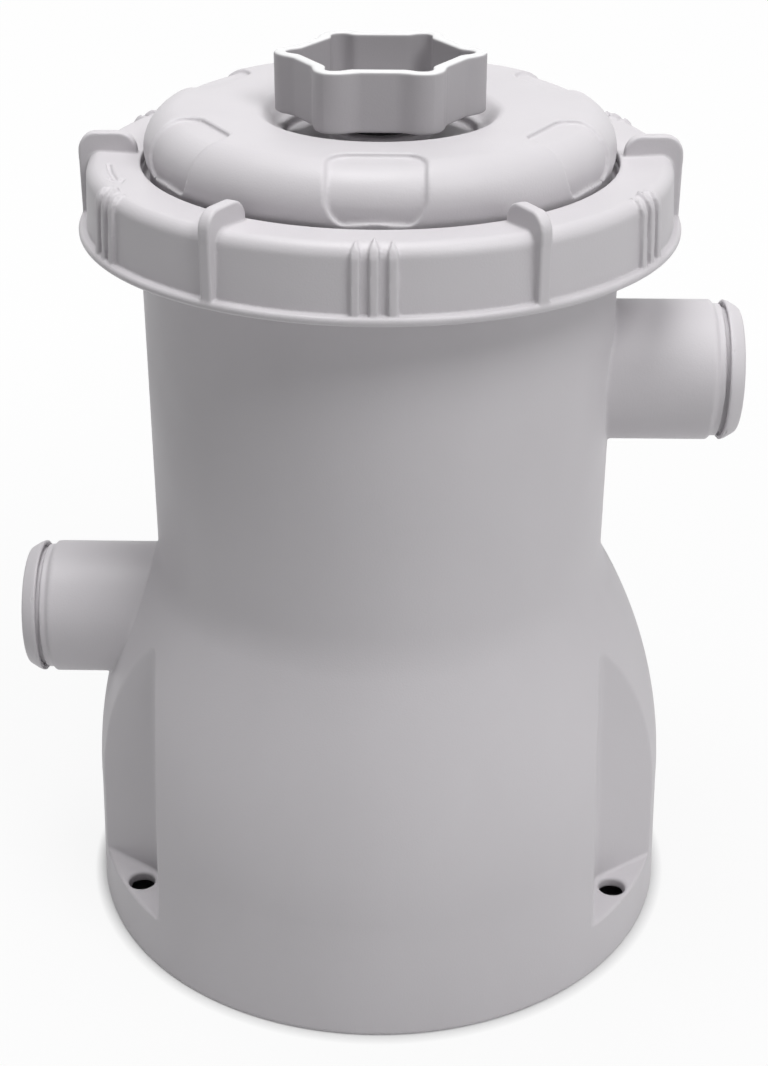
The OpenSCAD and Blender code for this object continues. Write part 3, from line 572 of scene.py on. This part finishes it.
def pocket(x, y, z, grow):
    """Fixing pockets: wedges that open outwards, with a round inner corner and leaning walls."""
    best = FAR
    for aim in POCKET_AIMS:
        u, v = turned(x, y, math.radians(aim))
        u = u - math.hypot(FIX_X, FIX_Y)
        v = np.abs(v)
        u = u * math.cos(POCKET_LEAN) + (z - POCKET_FLOOR) * math.sin(POCKET_LEAN)
        along, off = turned(u, v, POCKET_ALPHA)
        d = np.where(along < 0, np.hypot(u, v), off) - POCKET_R - grow
        best = np.minimum(best, np.maximum(d, v - POCKET_HALF - grow))
    return np.maximum(best, z - POCKET_TOP)


def housing_outside(x, y, z, r):
    """Bell and neck with thread, ports and gland boss, all solid."""
    side = bell(r, z, 0)
    flare = r - np.interp(z, [RING_Z, RING_Z + FLARE_RISE], [NECK_R, FLARE_R])
    flare = np.maximum(flare, RING_Z - z) - thread(x, y, z, **NECK_THREAD)
    side = smin(side, flare * FLARE_EASE, FLARE_FILLET)
    for way, height, reach in ((1, INLET_Z, INLET_REACH), (-1, OUTLET_Z, OUTLET_REACH)):
        tube = port(way * x, np.hypot(y, z - height), reach)
        side = smin(side, np.maximum(tube, PORT_FROM - way * x), PORT_FILLET)
    boss = np.maximum(np.hypot(x, z - GLAND_Z) - BOSS_R, y - BOSS_FACE)
    return smin(side, np.maximum(boss, BOSS_FROM - y), BOSS_FILLET)


def housing_inside(x, y, z, r):
    """What stands inside the shell: deck, ledge, ribs, and the walls of pockets and gland seat."""
    deck = np.maximum(DECK_IN - r, np.abs(z - DECK_Z - DECK_HALF) - DECK_HALF)
    ledge = np.maximum(LEDGE_IN - r, np.abs(z - LEDGE_Z - LEDGE_HALF) - LEDGE_HALF)
    inner = np.minimum(deck, ledge)
    for aim in BODY_RIB_AIMS:
        u, v = turned(x, y, math.radians(aim))
        rib = np.maximum(np.abs(v) - BODY_RIB_HALF, BODY_RIB_IN - u)
        inner = np.minimum(inner, np.maximum(rib, np.maximum(BODY_RIB_FOOT - z, z - BODY_RIB_HEAD)))
    walls = np.maximum(pocket(x, y, z, WALL), POCKET_FLOOR - POCKET_FLOOR_T - z)
    seat = np.maximum(np.hypot(x, z - GLAND_Z) - GLAND_SEAT_R, GLAND_SEAT_Y - y)
    return np.minimum(np.minimum(inner, walls), seat)


def housing_openings(solid, x, y, z):
    """Cuts the fixing pockets and holes, the bores of both ports, and the gland's bore."""
    cut = smax(pocket(x, y, z, 0), POCKET_FLOOR - z, POCKET_FLOOR_EDGE)
    solid = smax(solid, -cut, POCKET_EDGE)
    hole = np.maximum(np.hypot(np.abs(x) - FIX_X, y - FIX_Y) - FIX_R, z - POCKET_FLOOR - FIX_ABOVE)
    solid = smax(solid, -hole, HOLE_EDGE)
    inlet = PORT_BORE - np.hypot(y, z - INLET_Z) - np.maximum(INLET_BORE_FROM - x, 0)
    solid = smax(solid, inlet, BORE_EDGE)
    throat = np.interp(x, [-THROAT_X - THROAT_STEP, -THROAT_X], [PORT_BORE, THROAT_R])
    outlet = throat - np.hypot(y, z - OUTLET_Z) - np.maximum(x + OUTLET_BORE_FROM, 0)
    solid = smax(solid, outlet, BORE_EDGE)
    gland = GLAND_BORE - np.hypot(x, z - GLAND_Z) - np.maximum(GLAND_BORE_FROM - y, 0)
    return smax(solid, gland, GLAND_EDGE)


def housing_field(x, y, z):
    r = np.hypot(x, y)
    hollow = smin(-bell(r, z, WALL), housing_inside(x, y, z, r), INNER_FILLET)
    solid = smax(housing_outside(x, y, z, r), hollow, INNER_EDGE)
    solid = smax(solid, -z, BASE_EDGE)
    solid = smax(solid, z - LID_Z, TOP_EDGE)
    return housing_openings(solid, x, y, z)


# Grid spacings: LIP_GRID at the ports' grooves, NOSE_GRID at their ends, RIM_GRID at the thread
COARSE, WALL_GRID, FINE, POCKET_GRID, RIM_GRID, NOSE_GRID, LIP_GRID = 1.0, 0.65, 0.6, 0.5, 0.45, 0.36, 0.2
FOOT_GRID = 0.9
LIP_FROM, LIP_TO = 6.2, 2.4
SPARE = 1.0
MIDDLE = 42.0
REAR_Y = 17.5
FOOT_Z, POCKET_LOW, POCKET_HIGH, NECK_Z, THREAD_LOW, THREAD_HIGH = 3, 10, 17, 154, 172, 181
housing = mesh_field(
    "housing_shell", housing_field,
    planes(
        (-OUTLET_REACH - SPARE, -OUTLET_REACH + LIP_TO, NOSE_GRID),
        (-OUTLET_REACH + LIP_TO, -OUTLET_REACH + LIP_FROM, LIP_GRID),
        (-OUTLET_REACH + LIP_FROM, -MIDDLE, FINE), (-MIDDLE, MIDDLE, COARSE),
        (MIDDLE, INLET_REACH - LIP_FROM, FINE),
        (INLET_REACH - LIP_FROM, INLET_REACH - LIP_TO, LIP_GRID),
        (INLET_REACH - LIP_TO, INLET_REACH + SPARE, NOSE_GRID),
    ),
    planes((-BASE_R - 1.2, REAR_Y, FINE), (REAR_Y, BOSS_FACE + SPARE, COARSE)),
    planes(
        (-SPARE, FOOT_Z, POCKET_GRID), (FOOT_Z, POCKET_LOW, FOOT_GRID),
        (POCKET_LOW, POCKET_HIGH, POCKET_GRID), (POCKET_HIGH, NECK_Z, WALL_GRID),
        (NECK_Z, THREAD_LOW, COARSE), (THREAD_LOW, THREAD_HIGH, RIM_GRID),
    ),
)
dress(housing, "pump_body", "body_plastic",
      "housing_base", "housing_neck", "inlet_port", "outlet_port")

# Lid: dome with six pads and a crater, flange and spigot
DOME_R, DOME_ROUND = 51.0, 8.5
CREST_R, CREST_Z, CREST_BEND, CREST_FALL = 40.0, 197.5, 150.0, 2.6
TUCK_Z, TUCK_FALL, TUCK_BEND, TUCK_NORM = 189.6, 5.6, 26.0, 1.04
CRATER_Z, CRATER_R, CRATER_SLOPE, CRATER_NORM = 192.5, 22.3, 1.06, 1.46
TROUGH, TROUGH_IN, TROUGH_OUT, TROUGH_WALL = 2.1, 10.5, 20.8, 1.5
PAD_L, PAD_W, PAD_CORNER, PAD_AIM, PAD_SHIFT = 15.6, 19.8, 4.2, math.radians(43.5), -0.6
PAD_DEPTH, PAD_INSET, PAD_DRAFT, PAD_ABOVE = 0.95, 0.3, 0.4, 2.0
LID_WALL, FLANGE_R, FLANGE_T = 2.4, 57.5, 3.5
SPIGOT_R, SPIGOT_Z, SPIGOT_TOP = 49.6, 175.2, 182.0
LID_RIB_HALF, LID_RIB_IN, LID_RIB_Z = 0.8, 10.0, 188.8
STEM_BORE, STEM_BOSS_R, STEM_BOSS_Z = 5.05, 8.0, 186.5
SEAL_GROOVE = (52.65, 54.85, 179.0, 181.8)
FLANGE_CHANNEL = (49.9, 51.6, 181.3, 185.0)
CRATER_EDGE, CREST_EDGE, SHOULDER_EDGE = 0.8, 0.7, 0.3
TROUGH_EDGE, TROUGH_CORNER, WALL_CORNER = 0.8, 0.6, 0.4
PAD_FLOOR_EDGE, PAD_RIM_EDGE = 0.6, 0.5
FLANGE_CORNER, SPIGOT_CORNER, FOOT_FILLET = 0.5, 0.6, 0.7
DOME_INNER_FILLET, DOME_INNER_EDGE, STEM_BORE_EDGE = 0.6, 0.4, 0.3
CHANNEL_CORNER, LID_GROOVE_EDGE = 0.3, 0.15
LID_GRID, LID_HEIGHT_GRID = 0.55, 0.5


def dome_field(r, z):
    """Dome with a foot that tucks in, a crest that falls gently inwards, and the crater."""
    shoulder = box2(r, z, -DOME_R, DOME_R, DEEP, CREST_Z, DOME_ROUND)
    tuck = (r - DOME_R + np.clip(TUCK_Z - z, 0, TUCK_FALL) ** 2 / TUCK_BEND) / TUCK_NORM
    shoulder = np.maximum(shoulder, tuck)
    crest = z - (CREST_Z - np.minimum(np.maximum(CREST_R - r, 0) ** 2 / CREST_BEND, CREST_FALL))
    cone = ((z - CRATER_Z) - CRATER_SLOPE * (r - CRATER_R)) / CRATER_NORM
    crater = smin(z - CRATER_Z, cone, CRATER_EDGE)
    return smax(shoulder, smax(crest, crater, CREST_EDGE), SHOULDER_EDGE)


def cut_pad(top, u, v, z):
    """Sinks a shallow pad into the dome's round shoulder."""
    pu, pz = u - (DOME_R - DOME_ROUND), z - (CREST_Z - DOME_ROUND)
    along = pu * math.cos(PAD_AIM) - pz * math.sin(PAD_AIM)
    out = pu * math.sin(PAD_AIM) + pz * math.cos(PAD_AIM)
    plan = box2(along - PAD_SHIFT, v, -PAD_L / 2, PAD_L / 2, -PAD_W / 2, PAD_W / 2, PAD_CORNER)
    rise = top + PAD_DEPTH
    recess = smax(plan + PAD_INSET - PAD_DRAFT * rise, -rise, PAD_FLOOR_EDGE)
    return np.where(out > PAD_ABOVE, smax(top, -recess, PAD_RIM_EDGE), top)


def lid_inside(r, v, z):
    """What stands inside the dome: six ribs, the stem's boss and the trough's wall."""
    rib = np.maximum(np.abs(v) - LID_RIB_HALF, np.maximum(LID_RIB_IN - r, LID_RIB_Z - z))
    boss = np.maximum(r - STEM_BOSS_R, STEM_BOSS_Z - z)
    wall = box2(r, z, TROUGH_IN - TROUGH_WALL, TROUGH_OUT + TROUGH_WALL, LID_RIB_Z, CRATER_Z, WALL_CORNER)
    return np.minimum(np.minimum(rib, boss), wall)


def lid_field(x, y, z):
    r, u, v = fold(x, y, 6, 30)
    dome = dome_field(r, z)
    trough = box2(r, z, TROUGH_IN, TROUGH_OUT, CRATER_Z - TROUGH, CRATER_Z + CLEAR, TROUGH_CORNER)
    top = cut_pad(smax(dome, -trough, TROUGH_EDGE), u, v, z)
    flange = box2(r, z, -FLANGE_R, FLANGE_R, LID_Z, LID_Z + FLANGE_T, FLANGE_CORNER)
    spigot = box2(r, z, -SPIGOT_R, SPIGOT_R, SPIGOT_Z, SPIGOT_TOP, SPIGOT_CORNER)
    solid = smin(np.maximum(top, LID_Z - z), np.minimum(flange, spigot), FOOT_FILLET)
    hollow = smin(-(dome + LID_WALL), lid_inside(r, v, z), DOME_INNER_FILLET)
    solid = smax(solid, hollow, DOME_INNER_EDGE)
    solid = smax(solid, STEM_BORE - r, STEM_BORE_EDGE)
    groove = np.minimum(box2(r, z, *SEAL_GROOVE), box2(r, z, *FLANGE_CHANNEL, CHANNEL_CORNER))
    return smax(solid, -groove, LID_GROOVE_EDGE)


lid_across = planes((-FLANGE_R - 0.7, FLANGE_R + 0.7, LID_GRID))
lid_up = planes((SPIGOT_Z - 0.8, CREST_Z + 1.3, LID_HEIGHT_GRID))
lid = mesh_field("lid_dome", lid_field, lid_across, lid_across, lid_up)
dress(lid, "lid", "lid_plastic", "lid")

# Screw ring with its bead, six ears, six groups of three ribs, thread and arrow
RING_R, RING_INNER, RING_UNDER, RING_TOP = 64.2, 60.3, 184.0, 187.5
RING_DRAFT, MOUTH_R = 0.9, 51.8
CROWN_Z, CROWN_FALL, CROWN_R, CROWN_ROUND = 186.8, 0.06, 61.5, 2.8
BEAD_R, BEAD_Z, BEAD_H = 65.9, 171.3, 1.9
RING_THREAD = {"start": 174.6, "peak": 1.1, "height": 0.45, "low": 173.5, "high": 182.0}
EAR_R, EAR_TOP, EAR_IN, EAR_OUT, EAR_HALF, EAR_UNDER = 4.0, 190.9, 52.9, BEAD_R - 0.3, 1.35, 185.0
LEG_DEPTH = 4.0
RIB_PITCH, RIB_HALF, RIB_OUT, RIB_ROOT = 3.6, 0.9, 1.05, 3.6
RIB_SLOPE, RIB_SLOPE_Z, RIB_SLOPE_NORM = 0.45, 183.2, 1.1
RIB_POINT, RIB_TOP, RIB_RAISED, RIB_POINT_NORM = 1.6, 187.2, 0.5, 1.9
ARROW_R, ARROW_AIM, ARROW_DEPTH = 58.6, math.radians(196), 0.5
SHAFT_HALF, SHAFT_END = 0.45, 6.0
HEAD_BACK, HEAD_TIP, HEAD_SLOPE, HEAD_NORM = 5.4, 9.4, 1.9, 2.15
RING_INNER_CORNER, RING_INNER_EDGE, RING_KEPT_CORNER, RING_SPARE = 0.6, 0.4, 0.3, 0.6
MOUTH_EDGE, BEAD_CORNER, BEAD_FILLET, ARROW_EDGE = 0.5, 0.9, 0.2, 0.15
LEG_CORNER, LEG_FILLET, EAR_EDGE, EAR_FILLET = 0.5, 0.2, 0.5, 0.35
RIB_EDGE, RIB_TIP_EDGE, RIB_FILLET = 0.25, 0.3, 0.15
RING_GRID, RING_HEIGHT_GRID = 0.42, 0.4


def ear_field(u, v, z):
    """Ear: a fin that stands on the crown and runs down the ring's side as a leg."""
    ear = np.maximum(box2(u, z, EAR_IN, EAR_OUT, 175, EAR_TOP, EAR_R), EAR_UNDER - z)
    leg = box2(u, z, RING_R - LEG_DEPTH, EAR_OUT, BEAD_Z + 0.8, EAR_TOP - EAR_R, LEG_CORNER)
    fin = extrude(smin(ear, leg, LEG_FILLET), v, EAR_HALF, EAR_EDGE)
    return np.maximum(fin, RING_INNER + 0.3 - u - FAR * (z > EAR_UNDER))


def rib_field(wall, u, v, z, k):
    """Pointed rib on the ring's wall, k rib pitches beside the middle of its group."""
    ru, rv = turned(u, v, k * RIB_PITCH / RING_R)
    rv = np.abs(rv)
    slope = (ru - RING_R - RIB_OUT + RIB_SLOPE * (z - RIB_SLOPE_Z)) / RIB_SLOPE_NORM
    point = (RIB_POINT * rv + z - RIB_TOP - RIB_RAISED * (k == 0)) / RIB_POINT_NORM
    sides = smax(wall - RIB_OUT, rv - RIB_HALF, RIB_EDGE)
    rib = smax(sides, smax(slope, point, RIB_TIP_EDGE), RIB_EDGE)
    return np.maximum(np.maximum(rib, RING_R - RIB_ROOT - ru), BEAD_Z + 1 - z)


def arrow_field(x, y, r):
    """Outline of a plain arrow that follows the ring's top face."""
    along = ARROW_R * (np.mod(np.arctan2(y, x), FULL_TURN) - ARROW_AIM)
    across = np.abs(r - ARROW_R)
    shaft = np.maximum(across - SHAFT_HALF, np.abs(along) - SHAFT_END)
    head = np.maximum((across * HEAD_SLOPE + along - HEAD_TIP) / HEAD_NORM, HEAD_BACK - along)
    return np.minimum(shaft, head)


def collar_field(x, y, z):
    r = np.hypot(x, y)
    lean = r + RING_DRAFT * (z - RING_Z) / (RING_TOP - RING_Z)
    crown = z + CROWN_FALL * np.maximum(CROWN_R - r, 0)
    under = box2(r, z, -RING_INNER, RING_INNER, DEEP, RING_UNDER, RING_INNER_CORNER)
    under = under + thread(x, y, z, **RING_THREAD)
    wall = smax(box2(lean, crown, 20, RING_R, DEEP, CROWN_Z, CROWN_ROUND), -under, RING_INNER_EDGE)
    wall = smax(wall, MOUTH_R - r, MOUTH_EDGE)
    bead = box2(r, z, RING_INNER, BEAD_R, BEAD_Z, BEAD_Z + BEAD_H, BEAD_CORNER)
    solid = smin(np.maximum(wall, BEAD_Z + 0.4 - z), bead, BEAD_FILLET)
    _, u, v = fold(x, y, 6, 0)
    solid = smin(solid, ear_field(u, v, z), EAR_FILLET)
    _, u, v = fold(x, y, 6, 30)
    for k in (-1, 0, 1):
        solid = smin(solid, rib_field(wall, u, v, z, k), RIB_FILLET)
    kept_free = box2(r, z, -RING_INNER, RING_INNER, DEEP, RING_UNDER, RING_KEPT_CORNER)
    solid = np.maximum(solid, -kept_free - RING_SPARE)
    arrow = np.maximum(arrow_field(x, y, r), CROWN_Z - ARROW_DEPTH - crown)
    return smax(solid, -arrow, ARROW_EDGE)


collar_across = planes((-BEAD_R - 0.9, BEAD_R + 0.9, RING_GRID))
collar_up = planes((BEAD_Z - 1.1, EAR_TOP + 0.9, RING_HEIGHT_GRID))
collar = mesh_field("collar_ring", collar_field, collar_across, collar_across, collar_up)
dress(collar, "collar", "ring_plastic", "collar")

# Air-release knob: a hollow cup with six lobes on a stem
KNOB_BOTTOM, KNOB_TOP, KNOB_WALL, KNOB_FLOOR = 195.9, 208.5, 2.5, 2.4
LOBE_PLACE, LOBE_R, FLAT_R, LOBE_FILLET = 18.0, 4.5, 18.7, 2.0
HUB = (-9.0, 9.0, 194.3, 198.0)
STEM = (-5.0, 5.0, 183.0, 198.0)
STEM_FOOT = (-6.4, 6.4, 182.8, 184.4)
KNOB_RIM_EDGE, KNOB_UNDER_EDGE, CUP_CORNER, CUP_EDGE = 0.6, 0.5, 1.2, 0.5
HUB_CORNER, HUB_FILLET, STEM_FILLET, FOOT_CORNER, STEM_FOOT_FILLET = 0.4, 0.5, 0.4, 0.4, 0.3
KNOB_GRID = 0.35


def knob_outline(x, y):
    """Six round lobes on a hexagon with flat sides."""
    _, u, v = fold(x, y, 6, 0)
    lobe = np.hypot(u - LOBE_PLACE, v) - LOBE_R
    _, flat, _ = fold(x, y, 6, 30)
    return smin(flat - FLAT_R, lobe, LOBE_FILLET)


def knob_field(x, y, z):
    r = np.hypot(x, y)
    flat = knob_outline(x, y)
    solid = smax(smax(flat, z - KNOB_TOP, KNOB_RIM_EDGE), KNOB_BOTTOM - z, KNOB_UNDER_EDGE)
    cup = smax(flat + KNOB_WALL, KNOB_BOTTOM + KNOB_FLOOR - z, CUP_CORNER)
    solid = smax(solid, -cup, CUP_EDGE)
    solid = smin(solid, box2(r, z, *HUB, HUB_CORNER), HUB_FILLET)
    solid = smin(solid, box2(r, z, *STEM), STEM_FILLET)
    return smin(solid, box2(r, z, *STEM_FOOT, FOOT_CORNER), STEM_FOOT_FILLET)


knob_reach = LOBE_PLACE + LOBE_R + 0.9
knob_across = planes((-knob_reach, knob_reach, KNOB_GRID))
knob_up = planes((182.2, KNOB_TOP + 1.1, KNOB_GRID))
knob = mesh_field("air_release_knob", knob_field, knob_across, knob_across, knob_up)
dress(knob, "knob", "knob_plastic", "bleed_knob")

# Light
LAMP_AIM = Vector((0, 0, 0.1))
WHITE = (1, 1, 1, 1)
SKY, SKY_STRENGTH = (0.97, 0.98, 1.0, 1), 0.13


def lamp(name, place, size, watts):
    """Round area lamp that faces the object."""
    data = bpy.data.lights.new(name, "AREA")
    data.shape = "DISK"
    data.size = size
    data.energy = watts
    light = bpy.data.objects.new(name, data)
    light.location = place
    light.rotation_mode = "QUATERNION"
    light.rotation_quaternion = (LAMP_AIM - Vector(place)).to_track_quat("-Z", "Y")
    bpy.context.scene.collection.objects.link(light)


def seen_rays(tree):
    """One for camera, glossy and transmission rays, which see the background as white."""
    path = tree.add("ShaderNodeLightPath").outputs
    seen = tree.math("MAXIMUM", path["Is Camera Ray"], path["Is Glossy Ray"])
    return tree.math("MAXIMUM", seen, path["Is Transmission Ray"])


def light_world():
    world = bpy.data.worlds.new("studio")
    bpy.context.scene.world = world
    world.use_nodes = True
    tree = Tree(world.node_tree)
    tree.nodes.clear()
    sky = tree.add("ShaderNodeBackground", {"Color": SKY, "Strength": SKY_STRENGTH}).outputs[0]
    white = tree.add("ShaderNodeBackground", {"Color": WHITE, "Strength": 1.0}).outputs[0]
    mix = tree.add("ShaderNodeMixShader", {0: seen_rays(tree), 1: sky, 2: white}).outputs[0]
    tree.add("ShaderNodeOutputWorld", {"Surface": mix})


lamp("key", (0.58, -0.6, 1.15), size=0.6, watts=7.4)
lamp("top", (-0.1, 0.0, 1.4), size=0.8, watts=13.3)
lamp("side", (1.1, -0.3, 0.25), size=0.6, watts=1.4)
light_world()

# Floor: shown white apart from the object's shadow, with no white mixed in under the base
FLOOR_GREY, FLOOR_SIZE = 0.68, 12
FLOOR_DARK_R, FLOOR_BLEND, FLOOR_FAR_R = 0.0705, 0.002, 0.4
SHARE_NEAR, SHARE_FAR = 0.9, 0.985


def floor_material():
    material = bpy.data.materials.new("floor")
    material.use_nodes = True
    tree = Tree(material.node_tree)
    tree.nodes.clear()
    diffuse = tree.add("ShaderNodeBsdfDiffuse", {"Color": (FLOOR_GREY, FLOOR_GREY, FLOOR_GREY, 1)})
    white = tree.add("ShaderNodeEmission", {"Color": WHITE, "Strength": 1.0})
    reach = tree.add("ShaderNodeVectorMath", {0: tree.object_place()}, operation="LENGTH")
    share = tree.ramp(
        reach.outputs["Value"], (FLOOR_DARK_R, (0, 0, 0)),
        (FLOOR_DARK_R + FLOOR_BLEND, (SHARE_NEAR,) * 3), (FLOOR_FAR_R, (SHARE_FAR,) * 3),
    )
    whiteness = tree.math("MULTIPLY", seen_rays(tree), share)
    mix = tree.add("ShaderNodeMixShader", {0: whiteness, 1: diffuse.outputs[0], 2: white.outputs[0]})
    tree.add("ShaderNodeOutputMaterial", {"Surface": mix.outputs[0]})
    return material


bpy.ops.mesh.primitive_plane_add(size=FLOOR_SIZE, location=(0, 0, 0))
floor = bpy.context.object
floor.name = "floor"
floor.data.materials.append(floor_material())

bpy.context.scene.view_settings.view_transform = "Standard"
